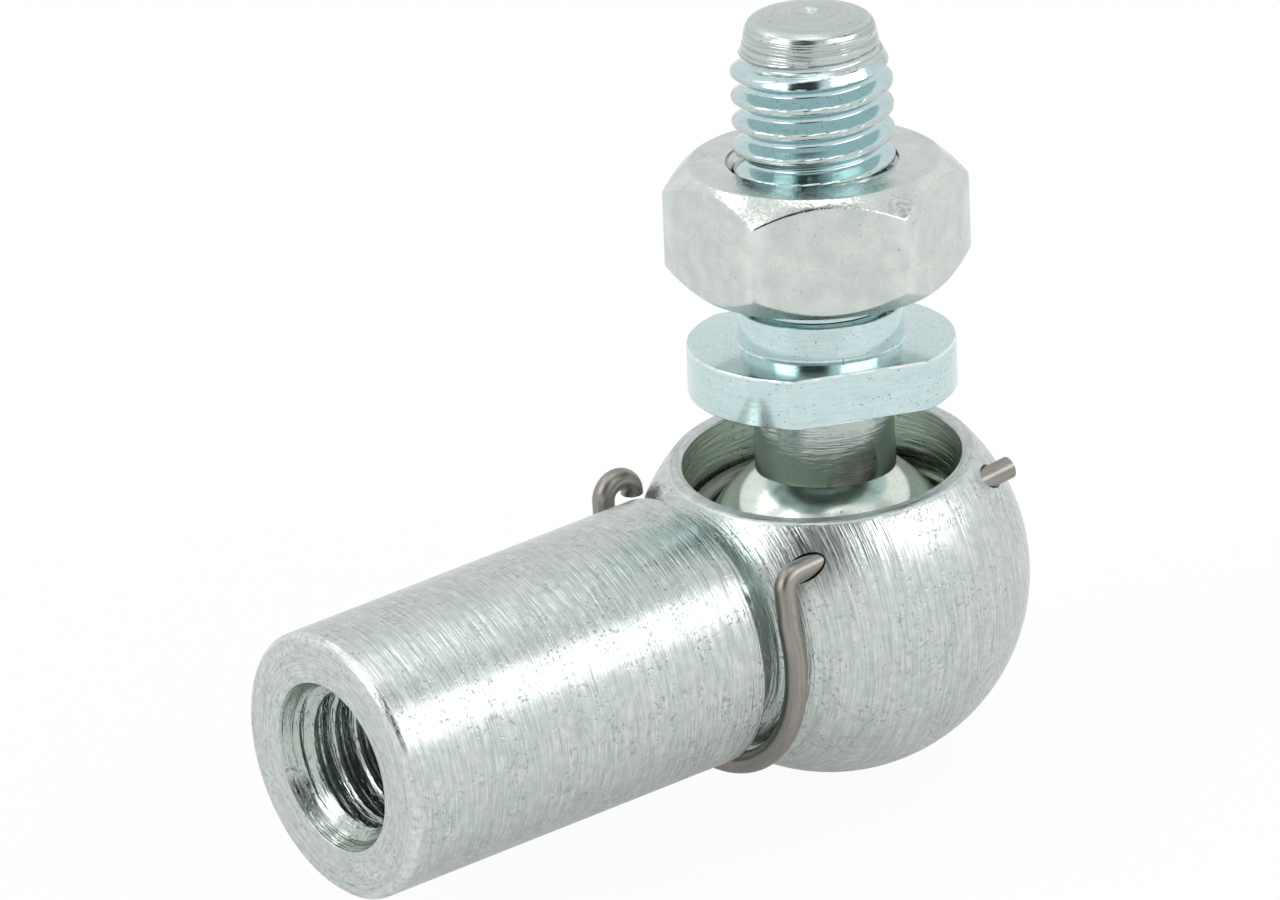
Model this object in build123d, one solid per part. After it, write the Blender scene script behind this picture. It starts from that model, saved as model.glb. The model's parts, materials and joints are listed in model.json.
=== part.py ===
from build123d import *
from math import cos, hypot, radians, sin, sqrt, tan
import os

os.makedirs("parts", exist_ok=True)

# Angle ball joint, size 13 with M8 threads. Millimetres.
# The origin is the centre of the rod thread's mouth. +X runs along the shank to the head, +Z is up.

# socket: shank, head and the groove between them
reach = 30.0                    # rod thread's mouth to the ball's centre
shank_diameter = 13.4
shank_end_chamfer = 0.3
shoulder_round = 0.2
groove_width = 1.0
groove_depth = 1.3
groove_round = 0.3
head_wall = 3.15                # round the ball
parting_flat_radius = 1.0       # where the turned head was cut from its bar

# rod thread, bored to the core diameter of M8
rod_core_diameter = 6.7
rod_thread_depth = 16.0
rod_countersink_depth = 0.8
drill_point_angle = 118.0

# ball cavity
ball_diameter = 13.0
ball_clearance = 0.05
mouth_clearance = 0.25
rim_lip = 0.645                 # from the mouth to the head's outside
rim_cut_margin = 0.5            # beyond the rim, so that the facing cut stays off the shank

# snap ring, which lies on the upper half of the ball
ring_wire = 1.0
ring_contact_angle = 27.0       # above the ball's equator
ring_gap_angle = 40.0
ring_play = 0.05
ring_groove_depth_play = 0.15
ring_groove_width_play = 0.1

# ball stud, from its neck upwards
stud_neck_diameter = 6.8
stud_neck_round = 0.25
collar_clearance = 3.3          # above the socket's rim
collar_diameter = 13.0
collar_flats = 11.0
collar_height = 2.5
collar_chamfer = 0.15
shoulder_step = 0.1             # beyond the thread
shoulder_height = 1.8
shoulder_foot_round = 0.2
relief_depth = 0.6
relief_height = 1.3
thread_diameter = 7.8
thread_run_in = 0.55
thread_beyond_nut = 7.5
end_dome_radius = 12.0
end_edge_radius = 1.3
centre_dimple_diameter = 1.1
centre_dimple_depth = 0.5
flats_direction = -107.0        # the spanner flats' normal, about the stud's own axis

# hexagon nut
nut_gap = 1.15                  # from the stud's shoulder
nut_across_flats = 12.9
nut_corner_round = 0.4
nut_height = 6.1
nut_chamfer_angle = 42.0
nut_face_share = 0.94           # bearing circle against the width across flats
nut_bore_clearance = 0.05
nut_countersink_depth = 0.4
nut_direction = 28.4            # one corner, about the stud's own axis

# how the loose stud leans in its socket
lean_angle = 6.1
lean_direction = 37.8

# safety clip: a pin through the head, a leg, a bow round the neck of the socket, and a hook
clip_wire = 1.1
clip_turn = 1.8                 # about the Z axis, as the sprung wire sits askew
clip_clearance = 0.16           # from the bow to the head
pin_ball_clearance = 0.6
pin_angle = 38.6                # up from the ball's middle
pin_rise = 3.8                  # towards its tip
pin_hole_play = 0.2
pin_tip_length = 0.95
pin_tip_round = 0.3
corner_beyond_head = 1.37
corner_inside_radius = 0.3
leg_angle = 165.0               # where the front leg meets the bow
leg_bend_length = 0.9
bow_shoulder_gap = 0.67
hook_inside_radius = 0.31
hook_end_length = 0.12
hook_clearance = 0.08           # from its end to the head

ball_centre = Vector(reach, 0, 0)
ball_radius = ball_diameter / 2
seat_radius = ball_radius + ball_clearance
mouth_radius = ball_radius + mouth_clearance
head_radius = ball_radius + head_wall
rim_height = sqrt(head_radius**2 - (mouth_radius + rim_lip)**2)
groove_radius = shank_diameter / 2 - groove_depth
head_start = sqrt(head_radius**2 - groove_radius**2)    # from the ball's centre towards the shank
shank_length = reach - head_start - groove_width

collar_bottom = rim_height + collar_clearance
collar_top = collar_bottom + collar_height
shoulder_top = collar_top + shoulder_height
nut_seat = shoulder_top + nut_gap
stud_height = nut_seat + nut_height + thread_beyond_nut

pin_from_centre = ball_radius + pin_ball_clearance + clip_wire / 2
pin_offset = pin_from_centre * cos(radians(pin_angle))
pin_height = pin_from_centre * sin(radians(pin_angle))
pin_in_head = sqrt(head_radius**2 - pin_from_centre**2)
bow_plane = head_start + groove_width - bow_shoulder_gap - clip_wire / 2
bow_radius = sqrt(head_radius**2 - (bow_plane - clip_wire / 2)**2) + clip_clearance + clip_wire / 2


def lathe(outline, axis):
    """Turn a closed half outline, drawn on the XZ plane, about an axis."""
    return revolve(make_face(outline), axis)


def xz(x, z):
    return Vector(x, 0, z)


def closed_outline(points):
    """Straight runs through the points, back to the first."""
    return Polyline(*points, close=True)


def socket_blank():
    """Shank, groove and head as they leave the lathe, about the X axis."""
    shank = shank_diameter / 2
    neck_end = reach - head_start
    head_end = reach + sqrt(head_radius**2 - parting_flat_radius**2)
    outline = Wire([
        Line(xz(0, 0), xz(0, shank - shank_end_chamfer)),
        Line(xz(0, shank - shank_end_chamfer), xz(shank_end_chamfer, shank)),
        Line(xz(shank_end_chamfer, shank), xz(shank_length, shank)),
        Line(xz(shank_length, shank), xz(shank_length, groove_radius)),
        Line(xz(shank_length, groove_radius), xz(neck_end, groove_radius)),
        ThreePointArc(xz(neck_end, groove_radius), xz(reach, head_radius), xz(head_end, parting_flat_radius)),
        Line(xz(head_end, parting_flat_radius), xz(head_end, 0)),
        Line(xz(head_end, 0), xz(0, 0)),
    ])
    blank = revolve(Face(outline), Axis.X)
    at_shoulder = blank.edges().filter_by(GeomType.CIRCLE).filter_by(
        lambda e: abs(e.center().X - shank_length) < 0.01)
    blank = fillet(at_shoulder.sort_by(lambda e: e.radius)[-1], shoulder_round)
    at_shoulder = blank.edges().filter_by(GeomType.CIRCLE).filter_by(
        lambda e: abs(e.center().X - shank_length) < 0.01)
    return fillet(at_shoulder.sort_by(lambda e: e.radius)[0], groove_round)


def rod_bore():
    """The threaded blind hole's core, its countersunk mouth and its drill point."""
    core = rod_core_diameter / 2
    drill_tip = core / tan(radians(drill_point_angle / 2))
    return lathe(closed_outline([
        xz(0, 0), xz(0, core + rod_countersink_depth), xz(rod_countersink_depth, core),
        xz(rod_thread_depth, core), xz(rod_thread_depth + drill_tip, 0),
    ]), Axis.X)


def ring_centre():
    """Radius and height of the snap ring's wire, which just clears the ball."""
    out = ball_radius + ring_play + ring_wire / 2
    return out * cos(radians(ring_contact_angle)), out * sin(radians(ring_contact_angle))


def cavity():
    """The round-bottomed bore for the ball, open at the top, with the snap ring's groove."""
    radius, height = ring_centre()
    seat = Sphere(seat_radius)
    barrel = Cylinder(mouth_radius, head_radius, align=(Align.CENTER, Align.CENTER, Align.MIN))
    groove_height = ring_wire + 2 * ring_groove_width_play
    groove = Pos(0, 0, height) * Cylinder(radius + ring_wire / 2 + ring_groove_depth_play, groove_height)
    return Pos(ball_centre) * (seat + barrel + groove)


def on_pin_axis(x):
    """The point of the safety clip's pin axis that lies x beyond the ball's centre, seen from that centre."""
    return Vector(x, x * tan(radians(clip_turn)) - pin_offset, x * tan(radians(pin_rise)) + pin_height)


def pin_hole():
    """The cross hole of the safety clip's pin, through both sides of the head."""
    along = Plane(origin=on_pin_axis(0), z_dir=on_pin_axis(1) - on_pin_axis(0))
    return Pos(ball_centre) * (along * Cylinder(clip_wire / 2 + pin_hole_play, 2 * head_radius))


def above_rim():
    """What the facing cut takes off the head, down to the flat rim."""
    cutter = Cylinder(mouth_radius + rim_lip + rim_cut_margin, head_radius,
                      align=(Align.CENTER, Align.CENTER, Align.MIN))
    return Pos(reach, 0, rim_height) * cutter


def socket():
    return socket_blank() - above_rim() - rod_bore() - cavity() - pin_hole()


def snap_ring():
    """A round-wire ring with a gap, in the cavity's groove, over the ball's widest part."""
    radius, height = ring_centre()
    path = CenterArc((0, 0, 0), radius, ring_gap_angle / 2, 360 - ring_gap_angle)
    section = Plane(origin=path @ 0, z_dir=path % 0) * Circle(ring_wire / 2)
    return Pos(reach, 0, height) * sweep(section, path)


def lean(shape):
    """Put a piece that stands on the ball's centre into its place, leaning with the stud."""
    toward = radians(lean_direction)
    tilt_axis = Axis((0, 0, 0), (-sin(toward), cos(toward), 0))
    return Pos(ball_centre) * shape.rotate(tilt_axis, lean_angle)


def ring_edge(turned, radius, height):
    """The round edge of a piece turned about the Z axis that lies nearest to a radius and a height."""
    circles = turned.edges().filter_by(GeomType.CIRCLE)
    return circles.sort_by(lambda e: hypot(e.radius - radius, e.center().Z - height))[0]


def upright_stud():
    """Ball, neck, collar, shoulder, thread relief and thread, about the Z axis."""
    neck = stud_neck_diameter / 2
    collar = collar_diameter / 2
    thread = thread_diameter / 2
    shoulder = thread + shoulder_step
    relief = thread - relief_depth
    relief_top = shoulder_top + relief_height
    end = thread - thread_run_in
    neck_start = sqrt(ball_radius**2 - neck**2)
    dome_drop = end_dome_radius - sqrt(end_dome_radius**2 - end**2)
    end_start = stud_height - dome_drop
    ball = ThreePointArc(xz(0, -ball_radius), xz(ball_radius, 0), xz(neck, neck_start))
    steps = Polyline(
        xz(neck, neck_start), xz(neck, collar_bottom), xz(collar, collar_bottom),
        xz(collar, collar_top), xz(shoulder, collar_top), xz(shoulder, shoulder_top),
        xz(relief, shoulder_top), xz(relief, relief_top), xz(thread, relief_top + relief_depth),
        xz(thread, end_start - end_edge_radius - thread_run_in),
        xz(end, end_start - end_edge_radius), xz(end, end_start))
    dome_middle = stud_height - end_dome_radius + sqrt(end_dome_radius**2 - end**2 / 4)
    dome = ThreePointArc(xz(end, end_start), xz(end / 2, dome_middle), xz(0, stud_height))
    stud = lathe(ball + steps + dome + Line(xz(0, stud_height), xz(0, -ball_radius)), Axis.Z)
    stud = chamfer([ring_edge(stud, collar, collar_top), ring_edge(stud, collar, collar_bottom)],
                   collar_chamfer)
    stud = fillet(ring_edge(stud, end, end_start), end_edge_radius)
    stud = fillet(ring_edge(stud, shoulder, collar_top), shoulder_foot_round)
    return fillet(ring_edge(stud, neck, collar_bottom), stud_neck_round)


def ball_stud():
    stud = upright_stud()
    beyond_flat = Pos(collar_flats / 2, 0, collar_bottom) * Box(
        collar_diameter, collar_diameter, collar_top - collar_bottom,
        align=(Align.MIN, Align.CENTER, Align.MIN))
    for side in (0, 180):
        stud -= Rot(0, 0, flats_direction + side) * beyond_flat
    dimple = Pos(0, 0, stud_height - centre_dimple_depth) * Cone(
        0, centre_dimple_diameter / 2, centre_dimple_depth, align=(Align.CENTER, Align.CENTER, Align.MIN))
    return lean(stud - dimple)


def hex_nut():
    """Six flats, both ends chamfered to a round face, and a countersunk bore."""
    apothem = nut_across_flats / 2
    corner = apothem / cos(radians(30))
    face = apothem * nut_face_share
    drop = (corner - face) * tan(radians(nut_chamfer_angle))
    prism = extrude(RegularPolygon(corner, 6), nut_height)
    prism = fillet(prism.edges().filter_by(Axis.Z), nut_corner_round)
    turned = lathe(closed_outline([
        xz(0, 0), xz(face, 0), xz(corner, drop), xz(corner, nut_height - drop),
        xz(face, nut_height), xz(0, nut_height),
    ]), Axis.Z)
    bore = thread_diameter / 2 + nut_bore_clearance
    sink = bore + nut_countersink_depth
    drilled = lathe(closed_outline([
        xz(0, 0), xz(sink, 0), xz(bore, nut_countersink_depth), xz(bore, nut_height - nut_countersink_depth),
        xz(sink, nut_height), xz(0, nut_height),
    ]), Axis.Z)
    nut = Rot(0, 0, nut_direction) * ((prism & turned) - drilled)
    return lean(Pos(0, 0, nut_seat) * nut)


def clip_path():
    """The wire's centre line from the ball's centre: pin, front leg, bow under the groove, back leg, hook."""
    bow = Plane(origin=(-bow_plane, 0, 0), x_dir=(0, 1, 0), z_dir=(1, 0, 0)).rotated((0, 0, clip_turn))
    curve = bow * CenterArc((0, 0, 0), bow_radius, leg_angle, 360 - leg_angle)
    tip = on_pin_axis(pin_in_head + pin_tip_length)
    corner = on_pin_axis(-pin_in_head - corner_beyond_head)
    leg = (curve @ 0 - corner).normalized()
    pin_and_leg = FilletPolyline(tip, corner, curve @ 0 - leg * leg_bend_length,
                                 radius=clip_wire / 2 + corner_inside_radius)
    leg_bend = Spline(pin_and_leg @ 1, curve @ 0, tangents=(leg, curve % 0))
    hook_radius = clip_wire / 2 + hook_inside_radius
    end = curve @ 1 + Vector(2 * hook_radius, 0, 0)
    end_height = sqrt((head_radius + hook_clearance + clip_wire / 2)**2 - end.X**2 - end.Y**2)
    back_leg = Line(curve @ 1, curve @ 1 + Vector(0, 0, end_height + hook_end_length))
    hook_top = back_leg @ 1 + Vector(hook_radius, 0, hook_radius)
    hook = ThreePointArc(back_leg @ 1, hook_top, back_leg @ 1 + Vector(2 * hook_radius, 0, 0))
    hook_end = Line(hook @ 1, hook @ 1 - Vector(0, 0, hook_end_length))
    return Wire([*pin_and_leg.edges(), leg_bend, curve, back_leg, hook, hook_end])


def safety_clip():
    path = clip_path()
    section = Plane(origin=path @ 0, z_dir=path % 0) * Circle(clip_wire / 2)
    wire = sweep(section, path)
    tip_edge = wire.edges().filter_by(GeomType.CIRCLE).sort_by(Axis.X)[-1]
    return Pos(ball_centre) * fillet(tip_edge, pin_tip_round)


nodes = {
    "socket": socket(),
    "ball_stud": ball_stud(),
    "hex_nut": hex_nut(),
    "safety_clip": safety_clip(),
    "snap_ring": snap_ring(),
}
for name, solid in nodes.items():
    export_step(solid, f"parts/{name}.step")
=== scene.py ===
# %% [markdown]
# # An angle ball joint, dressed for the studio
#
# The joint is five pieces of steel: a turned socket with a threaded shank, a ball stud, a lock nut, a
# wire safety clip and a hidden snap ring. The CAD frame gives their sizes and places. This lesson builds
# a finer copy of each piece, cuts the threads that the frame leaves plain, gives every piece the metal
# finish it has in the hand, and lights it like a catalogue picture.

# %% Load the frame
import json
from math import acos, cos, pi, radians, sin, sqrt, tan

import bmesh
import bpy
import numpy as np
from mathutils import Matrix, Vector
from mathutils.geometry import interpolate_bezier


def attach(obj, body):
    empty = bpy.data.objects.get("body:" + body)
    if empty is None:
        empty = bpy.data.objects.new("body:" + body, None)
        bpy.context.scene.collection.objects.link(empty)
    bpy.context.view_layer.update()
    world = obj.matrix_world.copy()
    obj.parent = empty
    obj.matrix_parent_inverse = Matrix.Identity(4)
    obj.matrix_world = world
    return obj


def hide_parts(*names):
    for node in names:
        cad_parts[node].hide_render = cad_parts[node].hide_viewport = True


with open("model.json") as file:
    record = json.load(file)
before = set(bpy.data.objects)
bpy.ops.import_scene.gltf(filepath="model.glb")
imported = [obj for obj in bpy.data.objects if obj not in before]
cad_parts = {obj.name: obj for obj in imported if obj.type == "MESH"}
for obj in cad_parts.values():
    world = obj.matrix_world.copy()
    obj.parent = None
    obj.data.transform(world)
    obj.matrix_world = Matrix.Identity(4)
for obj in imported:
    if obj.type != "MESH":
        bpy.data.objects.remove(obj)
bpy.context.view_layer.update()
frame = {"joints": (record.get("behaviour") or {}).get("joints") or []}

MM = 0.001

# %% [markdown]
# ## Where the pieces stand
#
# The record names the joints, so the ball's centre, the stud's leaning axis and the clip's pin are read
# from there instead of being written down twice. Turned pieces are easiest to think about standing
# straight up, so each is drawn about the Z axis in millimetres, and put in its place at the end: the
# shank is laid along +X, and the stud and its nut are leaned over about the ball's centre.

# %% Places
joints = {joint["name"]: joint for joint in frame["joints"]}


def standing_on(point, axis):
    """The place of an upright piece: its zero on a point, its Z axis along an axis."""
    turn = Vector((0, 0, 1)).rotation_difference(Vector(axis))
    return Matrix.Translation(point) @ turn.to_matrix().to_4x4()


ball_centre = Vector(joints["stud_tilt"]["pos_m"])
shank_place = standing_on((0, 0, 0), (1, 0, 0))
cavity_place = standing_on(ball_centre, (0, 0, 1))
stud_place = standing_on(ball_centre, joints["nut_turn"]["axis"])
pin_place = standing_on(joints["clip_swing"]["pos_m"], joints["clip_swing"]["axis"])
print("ball centre in mm:", [round(value / MM, 3) for value in ball_centre])

# %% [markdown]
# ## A lathe in a few lines
#
# Nearly every face here was turned, so one helper spins them all. A piece is a list of rings, each a
# height and a radius. Either may also be a whole array over the angle, and that is how the spanner flats
# and the nut's hexagon come off the same lathe without any cutting. An outline is a list of corners, and
# each is eased over a given size, because real edges are never dead sharp and the eased edge is what
# catches the light.

# %% Outlines
def eased(corners, steps=3):
    """Rings through the (height, radius, size) corners of an outline, each corner eased over its size."""
    points = [np.stack(np.broadcast_arrays(height, radius)).astype(float) for height, radius, _ in corners]
    rings = []
    for i, (height, radius, size) in enumerate(corners):
        if np.all(size == 0):
            rings.append(points[i])
            continue
        here, before, after = (p if p.ndim > 1 else p[:, None]
                               for p in (points[i], points[i - 1], points[(i + 1) % len(points)]))
        start = here + (before - here) / np.linalg.norm(before - here, axis=0) * size
        end = here + (after - here) / np.linalg.norm(after - here, axis=0) * size
        rings += [(1 - t)**2 * start + 2 * t * (1 - t) * here + t**2 * end
                  for t in np.linspace(0, 1, steps + 1)]
    return rings


def straight(start, end, step):
    """Close rings between two (height, radius) points, both left out, for a thread to be cut into."""
    start, end = np.array(start, float), np.array(end, float)
    count = int(np.linalg.norm(end - start) / step)
    return [start + (end - start) * t for t in np.linspace(0, 1, count)[1:-1]]


def arc(radius, start, end, step, height=0.0):
    """Rings along a circle whose centre is on the axis, between two angles above its equator."""
    angles = np.radians(np.linspace(start, end, round(abs(end - start) / step) + 1))
    return [np.array((height + radius * sin(a), radius * cos(a))) for a in angles]


# %% The lathe
def spin(name, rings, angles, closed=False):
    """Spin rings about the Z axis. An open outline ends on the axis twice, and a closed one meets itself."""
    sides = len(angles)
    outline = np.array([np.stack([np.broadcast_to(value, sides) for value in ring]) for ring in
                        (np.squeeze(ring) for ring in rings)]) * MM
    heights, radii = outline[:, 0], outline[:, 1]
    points = np.stack([radii * np.cos(angles), radii * np.sin(angles), heights], -1)
    if not closed:
        first, last = points[0, 0], points[-1, 0]
        points = points[1:-1]
    rows = np.arange(len(points) * sides).reshape(-1, sides)
    low, high = (rows, np.roll(rows, -1, 0)) if closed else (rows[:-1], rows[1:])
    faces = np.stack([low, np.roll(low, -1, 1), np.roll(high, -1, 1), high], -1).reshape(-1, 4).tolist()
    verts = points.reshape(-1, 3).tolist()
    if not closed:
        faces += [(len(verts), b, a) for a, b in zip(rows[0].tolist(), np.roll(rows[0], -1).tolist())]
        faces += [(len(verts) + 1, a, b) for a, b in zip(rows[-1].tolist(), np.roll(rows[-1], -1).tolist())]
        verts += [first.tolist(), last.tolist()]
    mesh = bpy.data.meshes.new(name)
    mesh.from_pydata(verts, [], faces)
    piece = bpy.data.objects.new(name, mesh)
    bpy.context.scene.collection.objects.link(piece)
    return piece


def round_angles(sides):
    return np.linspace(0, 2 * pi, sides, endpoint=False)


def evaluated_mesh(piece):
    """What an object's modifiers make of it, as a plain mesh."""
    depsgraph = bpy.context.evaluated_depsgraph_get()
    return bpy.data.meshes.new_from_object(piece.evaluated_get(depsgraph), depsgraph=depsgraph)


# %% [markdown]
# ## Cutting a thread with Geometry Nodes
#
# A thread follows a rule: once round the axis, its profile has moved along by one pitch. So a node tree
# does the cutting. For each vertex it works out the angle and the height, finds how far that is from the
# middle of the nearest crest, and moves the vertex to the thread's radius there. It only takes metal
# away: a negative depth cuts inwards, as a die does, and a positive depth cuts outwards, as a tap does.
# The same tree threads the stud, the shank's bore and the nut.

# %% Node helpers
MATHS, VECTORS, MAP_RANGE = "ShaderNodeMath", "ShaderNodeVectorMath", "ShaderNodeMapRange"


def add_node(tree, kind, *inputs, named=None, **settings):
    """A node with its inputs, in order or named, and settings. A node as an input gives its first output."""
    node = tree.nodes.new(kind)
    for key, value in settings.items():
        setattr(node, key, value)
    for key, value in [*enumerate(inputs), *(named or {}).items()]:
        if isinstance(value, bpy.types.Node):
            value = value.outputs[0]
        if isinstance(value, bpy.types.NodeSocket):
            tree.links.new(value, node.inputs[key])
        else:
            node.inputs[key].default_value = value
    return node


def new_tree(name, sizes):
    """A geometry tree with a geometry in and out, named sizes and a finish."""
    tree = bpy.data.node_groups.new(name, "GeometryNodeTree")
    tree.interface.new_socket("Geometry", in_out="OUTPUT", socket_type="NodeSocketGeometry")
    tree.interface.new_socket("Geometry", in_out="INPUT", socket_type="NodeSocketGeometry")
    for size in sizes:
        tree.interface.new_socket(size, in_out="INPUT", socket_type="NodeSocketFloat")
    tree.interface.new_socket("Finish", in_out="INPUT", socket_type="NodeSocketMaterial")
    return tree, add_node(tree, "NodeGroupInput").outputs


def end_tree(tree, geometry, finish):
    """Make the result real, give it its finish and hand it out."""
    real = add_node(tree, "GeometryNodeRealizeInstances", geometry)
    finished = add_node(tree, "GeometryNodeSetMaterial", real, named={"Material": finish})
    add_node(tree, "NodeGroupOutput", finished)
    return tree


def run_tree(piece, tree, values):
    """Run a tree on an object with its named inputs set, and give back the plain mesh that it makes."""
    modifier = piece.modifiers.new(tree.name, "NODES")
    modifier.node_group = tree
    for item in tree.interface.items_tree:
        if item.in_out == "INPUT" and item.name in values:
            modifier[item.identifier] = values[item.name]
    mesh = evaluated_mesh(piece)
    piece.modifiers.remove(modifier)
    return mesh


# %% The thread cutter
def thread_cutter():
    tree, given = new_tree("thread cutter", (
        "Pitch", "Crest Radius", "Depth", "Start", "End", "Run Out", "Turned By"))
    position = add_node(tree, "GeometryNodeInputPosition")
    x, y, z = add_node(tree, "ShaderNodeSeparateXYZ", position).outputs
    from_axis = add_node(tree, VECTORS, position, (1, 1, 0), operation="MULTIPLY")
    radius = add_node(tree, VECTORS, from_axis, operation="LENGTH").outputs["Value"]

    # where the vertex lies between crests: 0 in the middle of a crest and 1 in the middle of a root
    angle = add_node(tree, MATHS, y, x, operation="ARCTAN2")
    turns = add_node(tree, MATHS, angle, 1 / (2 * pi), given["Turned By"], operation="MULTIPLY_ADD")
    pitches = add_node(tree, MATHS, z, given["Pitch"], operation="DIVIDE")
    climb = add_node(tree, MATHS, pitches, turns, operation="SUBTRACT")
    part = add_node(tree, MATHS, climb, operation="FRACT")
    across = add_node(tree, MATHS, part, 2.0, -1.0, operation="MULTIPLY_ADD")
    from_root = add_node(tree, MATHS, across, operation="ABSOLUTE")
    from_crest = add_node(tree, MATHS, 1.0, from_root, operation="SUBTRACT")

    # the crest is flat for the first 0.16 of the way, the flank is straight, and the root is round
    flank = add_node(tree, MAP_RANGE, from_crest, 0.16, 0.8, clamp=False)
    crest_and_flank = add_node(tree, MATHS, flank, 0.0, 0.16, operation="SMOOTH_MAX")
    profile = add_node(tree, MATHS, crest_and_flank, 1.0, 0.3, operation="SMOOTH_MIN")

    # the thread fades out at both ends
    past_start = add_node(tree, MATHS, z, given["Start"], operation="SUBTRACT")
    before_end = add_node(tree, MATHS, given["End"], z, operation="SUBTRACT")
    from_end = add_node(tree, MATHS, past_start, before_end, operation="MINIMUM")
    fade = add_node(tree, MAP_RANGE, from_end, 0.0, given["Run Out"])
    cut = add_node(tree, MATHS, profile, fade, operation="MULTIPLY")
    thread = add_node(tree, MATHS, cut, given["Depth"], given["Crest Radius"], operation="MULTIPLY_ADD")

    # a vertex that is already past the thread's radius stays where it is
    side = add_node(tree, MATHS, given["Depth"], operation="SIGN")
    now = add_node(tree, MATHS, side, radius, operation="MULTIPLY")
    wanted = add_node(tree, MATHS, side, thread, operation="MULTIPLY")
    deeper = add_node(tree, MATHS, now, wanted, operation="MAXIMUM")
    cut_to = add_node(tree, MATHS, side, deeper, operation="MULTIPLY")
    off_axis = add_node(tree, MATHS, radius, 1e-6, operation="MAXIMUM")
    grow = add_node(tree, MATHS, cut_to, off_axis, operation="DIVIDE")
    outwards = add_node(tree, "ShaderNodeCombineXYZ", grow, grow, 1.0)
    moved = add_node(tree, VECTORS, position, outwards, operation="MULTIPLY")

    # vertices far from the crest, or past the ends, are left alone
    full_depth = add_node(tree, MATHS, given["Depth"], operation="ABSOLUTE")
    reach = add_node(tree, MATHS, full_depth, 1.3, operation="MULTIPLY")
    past_crest = add_node(tree, MATHS, radius, given["Crest Radius"], operation="SUBTRACT")
    off_crest = add_node(tree, MATHS, past_crest, operation="ABSOLUTE")
    on_thread = add_node(tree, MATHS, off_crest, reach, operation="LESS_THAN")
    between = add_node(tree, MATHS, from_end, 0.0, operation="GREATER_THAN")
    chosen = add_node(tree, MATHS, between, on_thread, operation="MULTIPLY")
    threaded = add_node(tree, "GeometryNodeSetPosition", given["Geometry"], chosen, moved)
    return end_tree(tree, threaded, given["Finish"])


THREAD_CUTTER = thread_cutter()
print("the thread cutter has", len(THREAD_CUTTER.nodes), "nodes")

# %% [markdown]
# ### M8, coarse
#
# One turn climbs 1.25 mm. The stud's crests stand 3.9 mm from its axis, and the roots lie about 0.55
# pitches below them. Rings a twenty-fourth of a pitch apart are finer than any view of it can show.

# %% Thread sizes, in millimetres
PITCH = 1.25
THREAD_DEPTH = 0.55 * PITCH
THREAD_STEP = PITCH / 24


def cut_thread(piece, finish, crest, depth, start, end, run_out, turned_by=0.0):
    """Cut a thread into an upright piece, its sizes in mm, turned by a share of a turn."""
    sizes = {"Pitch": PITCH, "Crest Radius": crest, "Depth": depth, "Start": start, "End": end,
             "Run Out": run_out}
    values = {name: size * MM for name, size in sizes.items()}
    piece.data = run_tree(piece, THREAD_CUTTER, {**values, "Turned By": turned_by, "Finish": finish})


def finish_shape(piece, place, sharp=34):
    """Put an upright piece in its place and shade it smooth, with the edges above an angle kept."""
    piece.data.transform(place)
    piece.data.shade_smooth()
    piece.data.set_sharp_from_angle(angle=radians(sharp))
    print(piece.name, "has", sum(len(face.vertices) - 2 for face in piece.data.polygons), "triangles")


# %% [markdown]
# ## The sizes
#
# The finishes change from one part of a piece to the next, and the outlines further down give the
# shapes, so both need the same sizes. They are in millimetres along and across each piece's own axis:
# from the shank's end for the socket, and from the ball's centre for its cavity, the stud and the nut.

# %% Sizes of the socket
REACH = ball_centre.x / MM
SHANK, GROOVE, HEAD, PARTING = 6.7, 5.4, 9.65, 1.0
HEAD_START = REACH - sqrt(HEAD**2 - GROOVE**2)
SHOULDER = HEAD_START - 1.0
END_CHAMFER = 0.3
END_EDGE = SHANK - END_CHAMFER
BORE, BORE_DEPTH, LEAD_IN, LEAD_RISE = 3.35, 16.0, 1.4, 0.6
BORE_MOUTH = BORE + 0.9
SEAT, MOUTH, RIM, RIM_HEIGHT = 6.55, 6.75, 7.395, 6.2
print("the shank ends at", round(SHOULDER, 2), "and the head starts at", round(HEAD_START, 2))

# %% Sizes of the stud
BALL, NECK, COLLAR, COLLAR_FLAT = 6.5, 3.4, 6.5, 5.5
NECK_START = sqrt(BALL**2 - NECK**2)
COLLAR_BOTTOM, COLLAR_TOP, SHOULDER_TOP, RELIEF_TOP = 9.5, 12.0, 13.8, 15.1
STUD_SHOULDER, RELIEF, CREST = 4.0, 3.3, 3.9
STUD_TOP, DOME, END, WALL = 28.55, 12.0, 3.35, 0.7


def dome(radius):
    """The height of the stud's domed end, at a distance from its axis."""
    return STUD_TOP - DOME + sqrt(DOME**2 - radius**2)


END_SIDE = dome(END) - 1.3
print("the neck starts at", round(NECK_START, 2), "and the thread ends at", round(END_SIDE, 2))

# %% Sizes of the nut
NUT_SEAT, NUT_HEIGHT, NUT_FLAT, NUT_ROUND = 14.95, 6.1, 6.45, 0.4
NUT_TOP = NUT_SEAT + NUT_HEIGHT
NUT_FACE, CHAMFER_SLOPE = NUT_FLAT * 0.94, tan(radians(42))
NUT_BORE, NUT_SINK, NUT_PUNCH = 3.95, 4.05, 5.7
print("the nut is", 2 * NUT_FLAT, "mm across its flats and ends at", round(NUT_TOP, 2))

# %% [markdown]
# ## Finishes
#
# All five pieces are steel. The socket and the stud were turned, the nut was pressed, and the clip and
# the ring were bent from drawn wire. The first three were then zinc plated and dipped in a blue
# passivate. The plating is so thin that it follows every tool mark, so each finish begins with how its
# surface was made, and the zinc only gives the colour. Patterns are given by their real size in
# millimetres, on coordinates that stand on each piece's own turning axis.

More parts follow.
